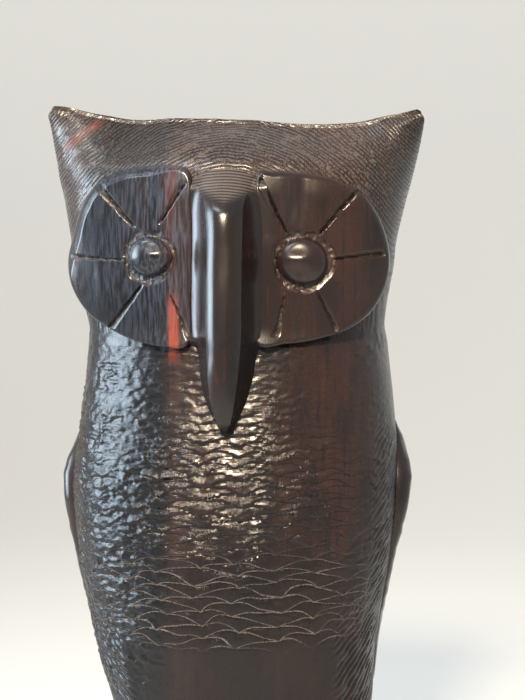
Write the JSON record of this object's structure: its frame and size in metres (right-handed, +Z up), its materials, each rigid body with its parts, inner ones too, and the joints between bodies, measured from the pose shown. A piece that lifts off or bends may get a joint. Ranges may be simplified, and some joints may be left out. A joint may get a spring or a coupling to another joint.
{
  "type": "carved owl figurine",
  "caption": "Upright hardwood owl with ear tufts, round facial discs, domed eyes, a long beak, scalloped breast, folded wings and tail, standing on a round base.",
  "frame": {"origin": "centre of the round base's underside", "axes": "+Z up, the owl faces -Y, its own left side is at +X"},
  "size_m": [0.108, 0.0948, 0.26],
  "materials": {
    "textured_wood": "engraved, semi-gloss oil",
    "polished_wood": "polished",
    "base_wood": "satin"
  },
  "bodies": {
    "root": {"base": "base_wood", "torso": "textured_wood", "head": "textured_wood", "left_ear_tuft": "textured_wood", "right_ear_tuft": "textured_wood", "left_facial_disc": "polished_wood", "right_facial_disc": "polished_wood", "left_eye": "polished_wood", "right_eye": "polished_wood", "beak": "polished_wood", "left_wing": "polished_wood", "right_wing": "polished_wood", "tail": "textured_wood", "left_foot": "polished_wood", "right_foot": "polished_wood"}
  },
  "joints": []
}
